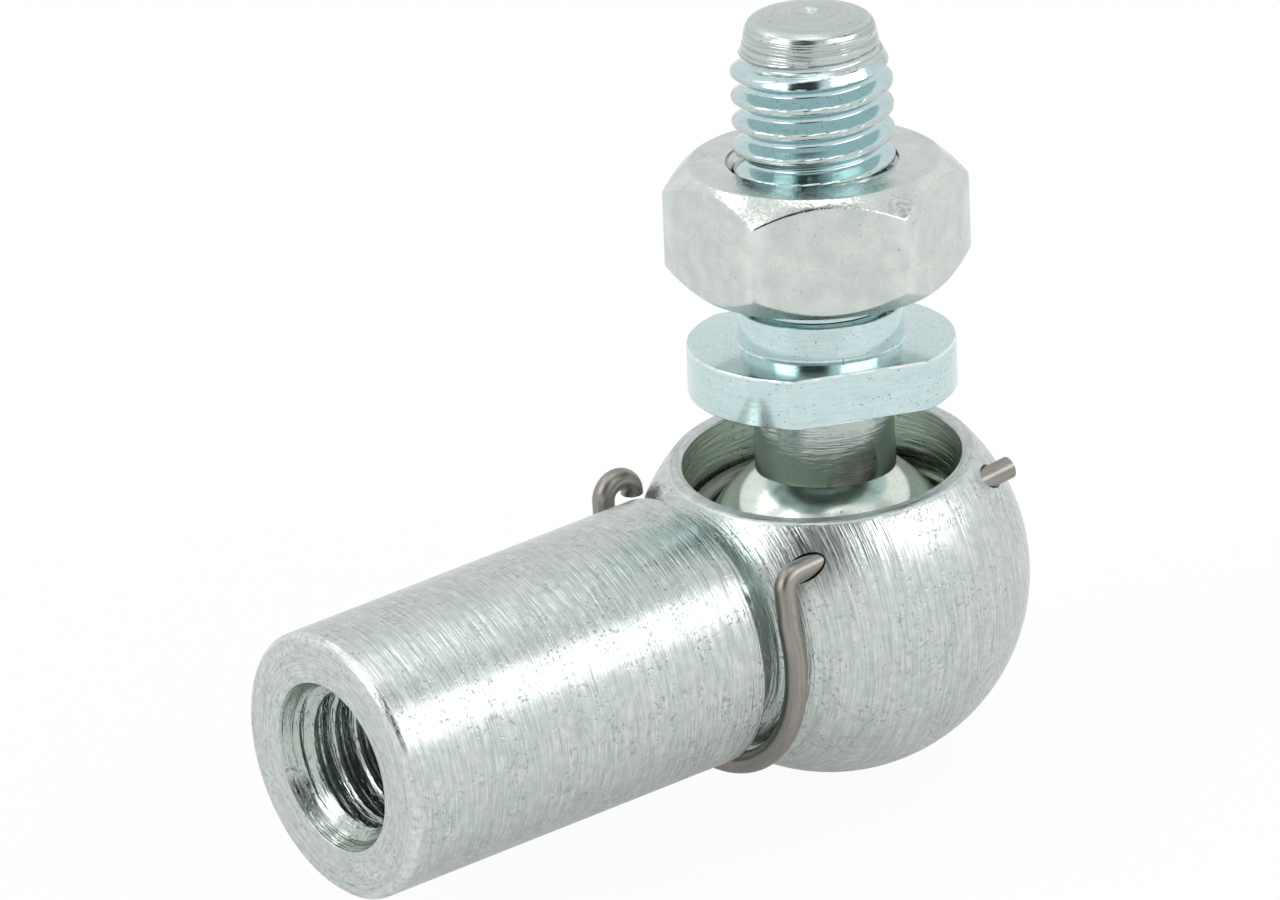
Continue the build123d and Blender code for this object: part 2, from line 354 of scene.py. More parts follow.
# %% Colour and coordinates
def hex_colour(code):
    """A linear colour from the sRGB hex that a swatch book gives."""
    channels = [int(code[i:i + 2], 16) / 255 for i in (1, 3, 5)]
    return (*(c / 12.92 if c <= 0.04045 else ((c + 0.055) / 1.055)**2.4 for c in channels), 1.0)


def new_metal(name):
    """A bare metal's material, with its node tree."""
    material = bpy.data.materials.new(name)
    material.use_nodes = True
    material.node_tree.nodes["Principled BSDF"].inputs["Metallic"].default_value = 1.0
    return material, material.node_tree


def own_coordinates(tree, place):
    """Millimetres on a piece as it stood before it was put in its place."""
    return add_node(tree, "ShaderNodeMapping", add_node(tree, "ShaderNodeTexCoord").outputs["Object"],
                    place.translation, place.to_euler(), (MM, MM, MM), vector_type="TEXTURE")


def round_coordinates(tree, own):
    """The way round the axis as a unit vector, and the radius and the height in millimetres."""
    from_axis = add_node(tree, VECTORS, own, (1, 1, 0), operation="MULTIPLY")
    way = add_node(tree, VECTORS, from_axis, operation="NORMALIZE").outputs["Vector"]
    radius = add_node(tree, VECTORS, from_axis, operation="LENGTH").outputs["Value"]
    return way, radius, add_node(tree, "ShaderNodeSeparateXYZ", own).outputs["Z"]


def coat(tree, under, over, where, share=1.0):
    """A colour laid over another where a mask says, as thinly as a share. Each is a hex or an output."""
    under, over = (hex_colour(colour) if isinstance(colour, str) else colour for colour in (under, over))
    cover = add_node(tree, MATHS, where, share, operation="MULTIPLY")
    return add_node(tree, "ShaderNodeMix", cover, named={6: under, 7: over}, data_type="RGBA").outputs[2]


# %% Marks
def tool_marks(tree, way, radius, height, apart, length):
    """Lines round the axis, 0 to 1, as far apart and about as long as given, in mm, on a bar 13 mm thick."""
    cells = 13 / 2 / length
    up = add_node(tree, MATHS, height, 1 / apart, operation="MULTIPLY")
    upwards = add_node(tree, "ShaderNodeCombineXYZ", 0.0, 0.0, up)
    place = add_node(tree, VECTORS, way, (cells, cells, 0), upwards, operation="MULTIPLY_ADD")
    out = add_node(tree, MATHS, radius, 1 / apart, operation="MULTIPLY")
    lines = add_node(tree, "ShaderNodeTexNoise", place, out, 1.0, 2.0, 0.6, noise_dimensions="4D")
    return add_node(tree, MAP_RANGE, lines, 0.3, 0.7)


def grains(tree, own, size, low, high, detail=1.0):
    """Patches of a size in mm. The two levels set how many there are and how sharp their edges are."""
    cloud = add_node(tree, "ShaderNodeTexNoise", own, named={"Scale": 1 / size, "Detail": detail})
    return add_node(tree, MAP_RANGE, cloud, low, high)


def join_finish(tree, colour, roughness, relief, depth):
    """Give the shader its colour, its roughness and a relief whose full height is depth, in mm."""
    shader = tree.nodes["Principled BSDF"]
    raised = add_node(tree, "ShaderNodeBump", named={"Distance": depth * MM, "Height": relief})
    tree.links.new(colour, shader.inputs["Base Color"])
    tree.links.new(roughness.outputs[0], shader.inputs["Roughness"])
    tree.links.new(raised.outputs[0], shader.inputs["Normal"])
    print(tree.name, "has", len(tree.nodes), "nodes")


# %% [markdown]
# ### Zinc on turned steel
#
# The socket came off an automatic lathe. Its tool left fine lines round the bar, some longer and deeper
# than others, so a highlight breaks up into streaks along the shank and into rings on the end face. The
# cavity was bored about its own upright axis, so the lines in it and on its rim run round that axis.
# Masks from the sizes say where the cavity, the groove and the thread lie, each a little wider than the
# part itself. The real lines are about 0.05 mm apart: they are drawn at 0.11 mm so that they show. Small
# dark pits sit in the zinc, and the edge of the end face is knocked bright by handling.

# %% Where the socket's parts lie
zinc_socket, tree = new_metal("zinc on turned steel")
own = own_coordinates(tree, shank_place)
way, radius, height = round_coordinates(tree, own)
bored_way, bored_radius, bored_height = round_coordinates(tree, own_coordinates(tree, cavity_place))

# the cavity and its ring groove stay within this edge, and the rim reaches half a millimetre further
above_seat = add_node(tree, MATHS, bored_height, -SEAT - 0.05, operation="GREATER_THAN")
on_rim = add_node(tree, MATHS, bored_height, RIM_HEIGHT - 0.2, operation="GREATER_THAN")
cavity_edge = add_node(tree, MATHS, on_rim, 0.5, MOUTH + 0.25, operation="MULTIPLY_ADD")
in_cavity = add_node(tree, MATHS, bored_radius, cavity_edge, operation="LESS_THAN")
bored = add_node(tree, MATHS, above_seat, in_cavity, operation="MULTIPLY")
below_rim = add_node(tree, MATHS, bored, on_rim, operation="SUBTRACT")

by_groove = add_node(tree, MATHS, height, SHOULDER + 0.9, 1.0, operation="COMPARE")
below_shank = add_node(tree, MATHS, radius, SHANK - 0.5, operation="LESS_THAN")
in_groove = add_node(tree, MATHS, by_groove, below_shank, operation="MULTIPLY")
by_thread = add_node(tree, MATHS, height, BORE_DEPTH + 1.0, operation="LESS_THAN")
in_mouth = add_node(tree, MATHS, radius, BORE_MOUTH - 0.03, operation="LESS_THAN")
in_thread = add_node(tree, MATHS, by_thread, in_mouth, operation="MULTIPLY")
from_edge = add_node(tree, MATHS, height, radius, operation="SUBTRACT")
at_edge = add_node(tree, MAP_RANGE, from_edge, 0.25 - END_EDGE, -END_EDGE)

# %% The socket's marks
fine_lines = add_node(tree, "ShaderNodeMix", bored, named={
    "A": tool_marks(tree, way, radius, height, 0.11, 1.6),
    "B": tool_marks(tree, bored_way, bored_radius, bored_height, 0.11, 1.6)})
long_lines = add_node(tree, "ShaderNodeMix", bored, named={
    "A": tool_marks(tree, way, radius, height, 0.3, 9.0),
    "B": tool_marks(tree, bored_way, bored_radius, bored_height, 0.32, 5.0)})
mottle = grains(tree, own, 0.45, 0.3, 0.7, detail=3.0)
small_pits, pitted_patches = grains(tree, own, 0.2, 0.57, 0.66, detail=3.0), grains(tree, own, 1.8, 0.4, 0.58)
pits = add_node(tree, MATHS, small_pits, pitted_patches, operation="MULTIPLY")
knocks = grains(tree, own, 0.35, 0.35, 0.65, detail=2.0)
worn = add_node(tree, MATHS, at_edge, knocks, operation="MULTIPLY")

# %% The socket's colour, roughness and relief
lined = coat(tree, "#AEB7B4", "#E3E9E6", fine_lines)
streaked = coat(tree, lined, "#DDE2DF", long_lines, 0.35)
clouded = coat(tree, streaked, "#A9B3B0", mottle, 0.5)
# the passivate dries thicker, and greener, where it can't drain: in the cavity, the groove and the thread.
# The cavity's coat is also lighter, as painted light that brightens the shaded bore
greened_and_painted_light = coat(tree, clouded, "#DAE4D6", below_rim, 0.8)
grooved = coat(tree, greened_and_painted_light, "#AEBFB8", in_groove, 0.4)
threaded = coat(tree, grooved, "#A9B3AC", in_thread, 0.6)
pitted = coat(tree, threaded, "#858B87", pits, 0.5)
socket_colour = coat(tree, pitted, "#E6EAE8", worn, 0.6)

lined_roughness = add_node(tree, MAP_RANGE, long_lines, 0.0, 1.0, 0.19, 0.33)
bored_roughness = add_node(tree, MATHS, bored, 0.06, lined_roughness, operation="MULTIPLY_ADD")
socket_roughness = add_node(tree, MATHS, in_thread, -0.1, bored_roughness, operation="MULTIPLY_ADD")
ridges = add_node(tree, MATHS, long_lines, 1.7, fine_lines, operation="MULTIPLY_ADD")
socket_relief = add_node(tree, MATHS, ridges, pits, operation="SUBTRACT")
join_finish(tree, socket_colour, socket_roughness, socket_relief, 0.013)

# %% [markdown]
# ### Zinc on rolled and polished steel
#
# The stud is smoother. Its thread is rolled, which leaves shiny flanks that take the blue passivate's
# turquoise, and crests that rub to silver. The ball is polished, the neck is plain turned steel, and the
# collar shines like a mirror seen through fine lines, with a bright burr along its edges. The end was
# turned last, so its wall carries strong rings, and its dome faint ones.

# %% Where the stud's parts lie
zinc_stud, tree = new_metal("zinc on rolled and polished steel")
own = own_coordinates(tree, stud_place)
way, radius, height = round_coordinates(tree, own)
past_ball = add_node(tree, MAP_RANGE, height, NECK_START - 0.14, NECK_START + 0.26)
past_neck = add_node(tree, MATHS, height, COLLAR_BOTTOM - 0.1, operation="GREATER_THAN")
past_shoulder = add_node(tree, MATHS, height, RELIEF_TOP - 0.2, operation="GREATER_THAN")
at_end = add_node(tree, MAP_RANGE, height, END_SIDE - 0.77, END_SIDE - 0.17)
on_top = add_node(tree, MAP_RANGE, height, STUD_TOP - 0.55, STUD_TOP - 0.4)
on_crests = add_node(tree, MAP_RANGE, radius, CREST - 0.1, CREST - 0.01)
on_collar = add_node(tree, MATHS, height, (COLLAR_BOTTOM + COLLAR_TOP) / 2, 1.15, operation="COMPARE")
by_collar_edge = add_node(tree, MATHS, height, COLLAR_TOP - 0.08, 0.06, operation="COMPARE")
past_flats = add_node(tree, MATHS, radius, COLLAR_FLAT - 0.2, operation="GREATER_THAN")
on_burr = add_node(tree, MATHS, by_collar_edge, past_flats, operation="MULTIPLY")

# %% The stud's marks
# on the collar's milled flats the radius changes along a line, so the lines there follow the height alone
off_collar = add_node(tree, MATHS, 1.0, on_collar, operation="SUBTRACT")
line_radius = add_node(tree, MATHS, radius, off_collar, operation="MULTIPLY")
fine_lines = tool_marks(tree, way, line_radius, height, 0.1, 1.8)
long_lines = tool_marks(tree, way, line_radius, height, 0.3, 6.0)
end_rings = tool_marks(tree, way, radius, height, 0.16, 12.0)
mottle = grains(tree, own, 0.5, 0.3, 0.7, detail=3.0)
pits = grains(tree, own, 0.14, 0.68, 0.73)
burr = add_node(tree, MATHS, on_burr, grains(tree, own, 0.5, 0.3, 0.6), operation="MULTIPLY")

# %% The stud's colour
# the ball is paler than the neck, partly for its polish and partly as painted light that brightens it in the
# cavity's shade
ball_and_neck = coat(tree, "#DCE3DA", "#BCC3BF", past_ball)
collar_zinc = coat(tree, "#C3DADC", "#D5E8E7", fine_lines)
thread_zinc = coat(tree, "#BFD6D8", "#C3CAC8", on_crests)
# the end wall's rings are real tool rings, and their dark colour is also painted shade for the dark that the
# wall reflects
wall_rings_and_painted_shade = coat(tree, "#8E9795", "#D9E0DE", end_rings)
dome_zinc = coat(tree, "#BAC2C0", "#D0D7D5", end_rings)
end_with_painted_shade = coat(tree, wall_rings_and_painted_shade, dome_zinc, on_top)
up_to_collar = coat(tree, ball_and_neck, collar_zinc, past_neck)
up_to_thread = coat(tree, up_to_collar, thread_zinc, past_shoulder)
up_to_end = coat(tree, up_to_thread, end_with_painted_shade, at_end)
clouded = coat(tree, up_to_end, "#B1C4C4", mottle, 0.25)
pitted = coat(tree, clouded, "#6C7777", pits, 0.6)
stud_colour = coat(tree, pitted, "#F0F3F1", burr)

# %% The stud's roughness and relief
polish = add_node(tree, MAP_RANGE, past_ball, 0.0, 1.0, 0.15, 0.11)
matt_top = add_node(tree, MATHS, on_top, 0.16, polish, operation="MULTIPLY_ADD")
stud_roughness = add_node(tree, MATHS, long_lines, 0.07, matt_top, operation="MULTIPLY_ADD")

# deep lines on the neck, deeper rings on the end, and faint lines on the ball and from the collar up
on_neck = add_node(tree, MATHS, past_ball, past_neck, operation="SUBTRACT")
turned = add_node(tree, MATHS, on_neck, at_end, operation="MAXIMUM")
line_depth = add_node(tree, MATHS, turned, 0.9, 0.1, operation="MULTIPLY_ADD")
ridges = add_node(tree, MATHS, fine_lines, long_lines, operation="ADD")
lines = add_node(tree, MATHS, ridges, line_depth, operation="MULTIPLY")
rings = add_node(tree, MATHS, end_rings, at_end, operation="MULTIPLY")
stud_relief = add_node(tree, MATHS, rings, 5.0, lines, operation="MULTIPLY_ADD")
join_finish(tree, stud_colour, stud_roughness, stud_relief, 0.004)

# %% [markdown]
# ### Zinc on pressed steel
#
# The nut was pressed cold and never saw a cutting tool outside, so it has no lines: only a satin skin
# with small dents from tumbling, and corners rubbed bright. Its face round the bore and its chamfer were
# pressed against polished tools, and shine.

# %% Where the nut's parts lie
zinc_nut, tree = new_metal("zinc on pressed steel")
own = own_coordinates(tree, stud_place)
radius, height = round_coordinates(tree, own)[1:]
corners = add_node(tree, MAP_RANGE, radius, NUT_FLAT + 0.5, NUT_FLAT + 0.8)
punched = add_node(tree, MAP_RANGE, radius, NUT_PUNCH, NUT_PUNCH - 0.7)
# a sum that stays the same all over the upper chamfer, and is less on the rest of the nut
chamfer_sum = add_node(tree, MATHS, radius, CHAMFER_SLOPE, height, operation="MULTIPLY_ADD")
least = NUT_TOP + NUT_FACE * CHAMFER_SLOPE - 0.05
on_chamfer = add_node(tree, MATHS, chamfer_sum, least, operation="GREATER_THAN")
shiny = add_node(tree, MATHS, punched, on_chamfer, operation="MAXIMUM")

# %% The nut's marks, colour, roughness and relief
skin = grains(tree, own, 0.22, 0.3, 0.7, detail=2.0)
mottle = grains(tree, own, 1.1, 0.3, 0.7, detail=3.0)
small_dents, dented_patches = grains(tree, own, 0.22, 0.6, 0.7, detail=2.0), grains(tree, own, 2.0, 0.42, 0.6)
dents = add_node(tree, MATHS, small_dents, dented_patches, operation="MULTIPLY")
rubbed = add_node(tree, MATHS, corners, grains(tree, own, 1.2, 0.3, 0.7), operation="MULTIPLY")

skinned = coat(tree, "#CFD5D0", "#DDE2DC", skin)
clouded = coat(tree, skinned, "#B6C0C0", mottle, 0.55)
dented = coat(tree, clouded, "#8F9895", dents, 0.45)
nut_colour = coat(tree, dented, "#ECEFEC", rubbed, 0.6)
satin = add_node(tree, MAP_RANGE, skin, 0.0, 1.0, 0.26, 0.36)
nut_roughness = add_node(tree, MATHS, shiny, -0.15, satin, operation="MULTIPLY_ADD")
nut_relief = add_node(tree, MATHS, skin, dents, operation="SUBTRACT")
join_finish(tree, nut_colour, nut_roughness, nut_relief, 0.008)

# %% [markdown]
# ### Drawn spring wire
#
# Wire is pulled through a die, which leaves faint lines along its length and a satin skin. It is not
# plated, so it is a warmer and darker grey. The lines follow the wire round its bends, so they read two
# attributes that the wire drawer below leaves on the mesh: how far along the wire, and which way round.

# %% The wires' finishes
def drawn_wire(name, dark, light, roughness):
    """Spring wire with die lines 0.12 mm apart and a few mm long, and small stains."""
    material, tree = new_metal(name)
    along = add_node(tree, "ShaderNodeAttribute", attribute_name="along the wire").outputs["Fac"]
    round_it = add_node(tree, "ShaderNodeAttribute", attribute_name="round the wire").outputs["Vector"]
    spread = add_node(tree, VECTORS, round_it, (4.5, 4.5, 4.5), operation="MULTIPLY")
    drawn_out = add_node(tree, MATHS, along, 0.4 / MM, operation="MULTIPLY")
    lines = add_node(tree, "ShaderNodeTexNoise", spread, drawn_out, 1.0, 2.0, 0.6, noise_dimensions="4D")
    drawn = add_node(tree, MAP_RANGE, lines, 0.3, 0.7)
    stains = grains(tree, own_coordinates(tree, Matrix.Identity(4)), 0.5, 0.55, 0.7, detail=2.0)
    colour = coat(tree, coat(tree, dark, light, drawn), dark, stains, 0.4)
    satin = add_node(tree, MAP_RANGE, drawn, 0.0, 1.0, roughness - 0.06, roughness + 0.06)
    join_finish(tree, colour, satin, drawn, 0.0015)
    return material


spring_wire = drawn_wire("drawn spring wire", "#8B8780", "#A09D97", 0.36)
ring_wire = drawn_wire("oiled spring wire", "#767A74", "#949890", 0.3)

# %% [markdown]
# ## The socket
#
# The socket is turned from one bar. Its outline starts at the tip of the drilled bore, comes out through
# the thread and its lead-in, crosses the end face, and runs along the shank, the groove and the round
# head to the small flat where it was parted from the bar.

# %% Turn and tap the socket
DRILL_POINT = radians(118) / 2
drill_tip = BORE_DEPTH + BORE / tan(DRILL_POINT)
lead_end = (LEAD_IN - LEAD_RISE, BORE + LEAD_RISE)
bore_rings = [
    *eased([(drill_tip, 0, 0), (BORE_DEPTH, BORE, 0)]),
    *straight((BORE_DEPTH, BORE), (LEAD_IN, BORE), THREAD_STEP),
    *straight((LEAD_IN, BORE), lead_end, THREAD_STEP)]
outside_rings = eased([
    (LEAD_IN, BORE, 0), (*lead_end, 0.1), (0, BORE_MOUTH, 0.06), (0, END_EDGE, 0.12),
    (END_CHAMFER, SHANK, 0.12), (SHOULDER, SHANK, 0.2), (SHOULDER, GROOVE, 0.3),
    (HEAD_START, GROOVE, 0)])[1:-1]
head_rings = arc(HEAD, -np.degrees(acos(GROOVE / HEAD)), np.degrees(acos(PARTING / HEAD)), 1.3, REACH)
head_rings.append(np.array((head_rings[-1][0], 0.0)))

socket = spin("turned_socket", bore_rings + outside_rings + head_rings, round_angles(160))
cut_thread(socket, zinc_socket, crest=BORE, depth=THREAD_DEPTH, start=LEAD_IN - 0.54, end=15.6, run_out=0.15)
finish_shape(socket, shank_place)

# %% [markdown]
# ### Boring the cavity and drilling the pin hole
#
# The ball sits in a round-bottomed bore across the head, which also holds the snap ring's groove. One
# tool turned about the upright axis takes out the bore and the groove, faces the rim flat and breaks its
# two edges. A second tool drills the hole for the clip's pin. A Boolean modifier does each cut.

# %% Cavity and pin hole
RING_WIRE, RING_RADIUS, RING_HEIGHT = 0.5, 6.282, 3.2
CLEAR, PIN_HOLE = 12.0, 0.64
groove_half = RING_WIRE + 0.1
groove_low, groove_high = RING_HEIGHT - groove_half, RING_HEIGHT + groove_half
groove_radius = RING_RADIUS + RING_WIRE + 0.15
rim_edge, rim_outside = RIM - 0.07, RIM + 0.43
cavity_rings = [
    *arc(SEAT, -90, 0, 3),
    *eased([(0, MOUTH, 0), (groove_low, MOUTH, 0), (groove_low, groove_radius, 0),
            (groove_high, groove_radius, 0), (groove_high, MOUTH, 0), (RIM_HEIGHT, MOUTH, 0.12),
            (RIM_HEIGHT, rim_edge, 0.1), (RIM_HEIGHT - 0.24, rim_outside, 0), (CLEAR, rim_outside, 0),
            (CLEAR, 0, 0)])]
cavity_tool = spin("cavity tool", cavity_rings, round_angles(160))
cavity_tool.data.transform(cavity_place)

drill_rings = [np.array(ring) for ring in ((-CLEAR, 0.0), (-CLEAR, PIN_HOLE), (HEAD, PIN_HOLE), (HEAD, 0.0))]
drill = spin("pin drill", drill_rings, round_angles(40))
drill.data.transform(pin_place)


def take_out(piece, tool):
    """Cut a tool's shape out of a piece and throw the tool away."""
    tool.data.materials.append(piece.data.materials[0])
    modifier = piece.modifiers.new("cut", "BOOLEAN")
    modifier.object = tool
    modifier.operation = "DIFFERENCE"
    modifier.solver = "EXACT"
    mesh = evaluated_mesh(piece)
    piece.modifiers.remove(modifier)
    # a cut can leave two vertices on one spot, with a triangle of no area between them
    merged = bmesh.new()
    merged.from_mesh(mesh)
    bmesh.ops.remove_doubles(merged, verts=merged.verts, dist=0.0005 * MM)
    merged.to_mesh(mesh)
    merged.free()
    piece.data = mesh
    bpy.data.objects.remove(tool)


take_out(socket, cavity_tool)
take_out(socket, drill)
finish_shape(socket, Matrix.Identity(4))

# %% [markdown]
# ## The ball stud
#
# Ball, neck, spanner collar, shoulder and thread are one turned piece. Only the two spanner flats are
# milled, so the collar's radius is the smaller of its round and the distance to the flats. The angles
# are spaced so that the flats' upright edges fall on vertices. The thread runs out on a short wall that
# leans in a little, and the end above it is a low dome with a small dimple in its middle.

# %% Turn and thread the stud
FLATS_FACE = radians(-107.0)
half_flat = acos(COLLAR_FLAT / COLLAR)
flat_steps = np.linspace(-half_flat, half_flat, 37)[:-1]
round_steps = np.linspace(half_flat, pi - half_flat, 65)[:-1]
stud_angles = FLATS_FACE + np.concatenate([flat_steps, round_steps, flat_steps + pi, round_steps + pi])
to_flat = COLLAR_FLAT / np.maximum(np.abs(np.cos(stud_angles - FLATS_FACE)), 0.1)
collar = np.minimum(COLLAR, to_flat)
collar_edge = np.where(to_flat < COLLAR, 0.06, 0.15)

on_dome = [(dome(r), r, size) for r, size in ((3.08, 0.5), (1.9, 0), (1.4, 0), (0.9, 0), (0.55, 0.08))]
relief_end, wall_start, wall_end = (RELIEF_TOP, RELIEF), (END_SIDE, END), (END_SIDE + WALL, END - 0.14)
crests_start, crests_end = (RELIEF_TOP + 0.6, CREST), (END_SIDE - 1.05, CREST)
stud_rings = [
    *arc(BALL, -90, np.degrees(acos(NECK / BALL)), 1.8),
    *eased([(NECK_START, NECK, 0), (COLLAR_BOTTOM, NECK, 0.25), (COLLAR_BOTTOM, collar, collar_edge),
            (COLLAR_TOP, collar, collar_edge), (COLLAR_TOP, STUD_SHOULDER, 0.2),
            (SHOULDER_TOP, STUD_SHOULDER, 0.12), (SHOULDER_TOP, RELIEF, 0.1), (*relief_end, 0)])[1:],
    *straight(relief_end, crests_start, THREAD_STEP),
    *straight(crests_start, crests_end, THREAD_STEP),
    *straight(crests_end, wall_start, THREAD_STEP),
    *straight(wall_start, wall_end, THREAD_STEP),
    *eased([(*wall_end, 0), *on_dome, (STUD_TOP - 0.5, 0, 0)], steps=9)]
stud = spin("threaded_ball_stud", stud_rings, stud_angles)
cut_thread(stud, zinc_stud, crest=CREST, depth=-THREAD_DEPTH, start=RELIEF_TOP, end=END_SIDE + WALL,
           run_out=0.5, turned_by=0.1)
finish_shape(stud, stud_place, sharp=28)

# %% [markdown]
# ## The lock nut
#
# A cold-formed hexagon nut is a hexagonal prism with rounded corners whose ends were chamfered to a
# round face, which leaves the curved lines across its flats. On the lathe its radius is that of the
# hexagon at each angle, and the chamfer starts lower where the hexagon reaches further out.

# %% The hexagon by its angles
NUT_CORNER = radians(28.4)
corner_centre = (NUT_FLAT - NUT_ROUND) / cos(pi / 6)
flat_reach = np.arctan2(NUT_FLAT * tan(pi / 6) - NUT_ROUND * tan(pi / 6), NUT_FLAT)
one_side = np.concatenate([np.linspace(-flat_reach, flat_reach, 41),
                           np.linspace(flat_reach, pi / 3 - flat_reach, 9)[1:-1]])
across = np.concatenate([one_side + side * pi / 3 for side in range(6)])
from_middle = np.abs((across + pi / 6) % (pi / 3) - pi / 6)
to_corner = pi / 6 - from_middle
round_part = np.sqrt(np.maximum(NUT_ROUND**2 - (corner_centre * np.sin(to_corner))**2, 0))
hexagon = np.where(from_middle <= flat_reach, NUT_FLAT / np.cos(from_middle),
                   corner_centre * np.cos(to_corner) + round_part)
chamfer = (hexagon - NUT_FACE) * CHAMFER_SLOPE
print("the hexagon reaches from", round(hexagon.min(), 2), "to", round(hexagon.max(), 2))

# %% Spin and tap the nut
sink = NUT_SINK - NUT_BORE
low_bore, high_bore = (NUT_SEAT + sink, NUT_BORE), (NUT_TOP - sink, NUT_BORE)
nut_rings = [
    *eased([(*low_bore, 0), (NUT_SEAT, NUT_SINK, 0.05), (NUT_SEAT, NUT_FACE, 0.1),
            (NUT_SEAT + chamfer, hexagon, 0.12), (NUT_TOP - chamfer, hexagon, 0.12),
            (NUT_TOP, NUT_FACE, 0.1), (NUT_TOP, NUT_SINK, 0.05)]),
    *straight((NUT_TOP, NUT_SINK), high_bore, THREAD_STEP),
    *straight(high_bore, low_bore, THREAD_STEP)]
nut = spin("hexagon_nut", nut_rings, across + NUT_CORNER + pi / 6, closed=True)
cut_thread(nut, zinc_nut, crest=NUT_BORE, depth=0.35, start=NUT_SEAT - 0.2, end=NUT_TOP + 0.2, run_out=0.1)
finish_shape(nut, stud_place)

# %% [markdown]
# ## The wires
#
# The safety clip is one bent wire: a pin through the head, a leg down to the groove, a bow round it, and
# a hook that grips the far side. The snap ring is a shorter one. Both are a path with a round section,
# so a second node tree sweeps a circle along a curve. Each point's own radius rounds off the pin's end.

# %% The wire drawer
def wire_drawer():
    tree, given = new_tree("wire drawer", ("Wire Radius",))
    section = add_node(tree, "GeometryNodeCurvePrimitiveCircle", named={
        "Resolution": 28, "Radius": given["Wire Radius"]})
    way_round = add_node(tree, VECTORS, add_node(tree, "GeometryNodeInputPosition"), operation="NORMALIZE")
    marked_section = add_node(tree, "GeometryNodeStoreNamedAttribute", section, named={
        "Name": "round the wire", "Value": way_round}, data_type="FLOAT_VECTOR")
    length = add_node(tree, "GeometryNodeSplineParameter").outputs["Length"]
    marked_path = add_node(tree, "GeometryNodeStoreNamedAttribute", given["Geometry"], named={
        "Name": "along the wire", "Value": length}, data_type="FLOAT")
    swept = add_node(tree, "GeometryNodeCurveToMesh", marked_path, marked_section, named={"Fill Caps": True})
    return end_tree(tree, swept, given["Finish"])


WIRE_DRAWER = wire_drawer()


def draw_wire(name, path, radius, finish, rounded=0.0):
    """A wire along a path of points in mm from the ball's centre, with its first end rounded."""
    curve = bpy.data.curves.new(name + " path", "CURVE")
    curve.dimensions = "3D"
    points = [Vector(point) for point in path]
    ends = [1.0] * len(points)
    if rounded:
        along = (points[1] - points[0]).normalized()
        steps = [rounded * (1 - cos(a)) for a in np.linspace(0, pi / 2, 7)]
        sizes = [(radius - rounded + rounded * sin(a)) / radius for a in np.linspace(0, pi / 2, 7)]
        ends = sizes + ends[1:]
        points = [points[0] + along * step for step in steps] + points[1:]
    spline = curve.splines.new("POLY")
    spline.points.add(len(points) - 1)
    for target, point, size in zip(spline.points, points, ends):
        target.co = (*(ball_centre + point * MM), 1)
        target.radius = size
    path_object = bpy.data.objects.new(name + " path", curve)
    bpy.context.scene.collection.objects.link(path_object)
    mesh = run_tree(path_object, WIRE_DRAWER, {"Wire Radius": radius * MM, "Finish": finish})
    bpy.data.objects.remove(path_object)
    wire = bpy.data.objects.new(name, mesh)
    bpy.context.scene.collection.objects.link(wire)
    finish_shape(wire, Matrix.Identity(4), sharp=40)
    return wire


# %% Sizes of the safety clip
CLIP_WIRE, CLIP_TURN = 0.55, radians(1.8)
BALL_GAP, SHOULDER_GAP, HEAD_GAP = 0.6, 0.67, 0.16
PIN_FROM_CENTRE = BALL + BALL_GAP + CLIP_WIRE
PIN_IN_HEAD = sqrt(HEAD**2 - PIN_FROM_CENTRE**2)
BOW_PLANE = REACH - SHOULDER - SHOULDER_GAP - CLIP_WIRE
BOW = sqrt(HEAD**2 - (BOW_PLANE - CLIP_WIRE)**2) + HEAD_GAP + CLIP_WIRE
BOW_START, HOOK_TAIL, TIP_OUT, CORNER_OUT = 165, 0.12, 0.95, 1.37
BEND, HOOK = CLIP_WIRE + 0.3, CLIP_WIRE + 0.31
print("the bow's radius is", round(BOW, 2))


# %% Bend the safety clip
pin_start = (Vector(joints["clip_swing"]["pos_m"]) - ball_centre) / MM
pin_way = Vector(joints["clip_swing"]["axis"])


def on_pin(x):
    """A point of the pin, by how far along the shank it is from the ball's centre."""
    return pin_start + pin_way * (x / pin_way.x)


def on_bow(degrees):
    """A point of the bow, which lies across the shank and is turned a little about the upright axis."""
    a = radians(degrees)
    across_shank = Vector((-sin(CLIP_TURN), cos(CLIP_TURN), 0))
    return Vector((-BOW_PLANE, 0, 0)) + across_shank * (BOW * cos(a)) + Vector((0, 0, BOW * sin(a)))


def bend(before, corner, after, radius, steps=10):
    """Points of a wire bent round a corner."""
    into, out = (corner - before).normalized(), (after - corner).normalized()
    turn = into.angle(out)
    centre = corner + (out - into).normalized() * radius / cos(turn / 2)
    start = corner - into * radius * tan(turn / 2) - centre
    side = into * radius
    return [centre + start * cos(a) + side * sin(a) for a in np.linspace(0, turn, steps)]


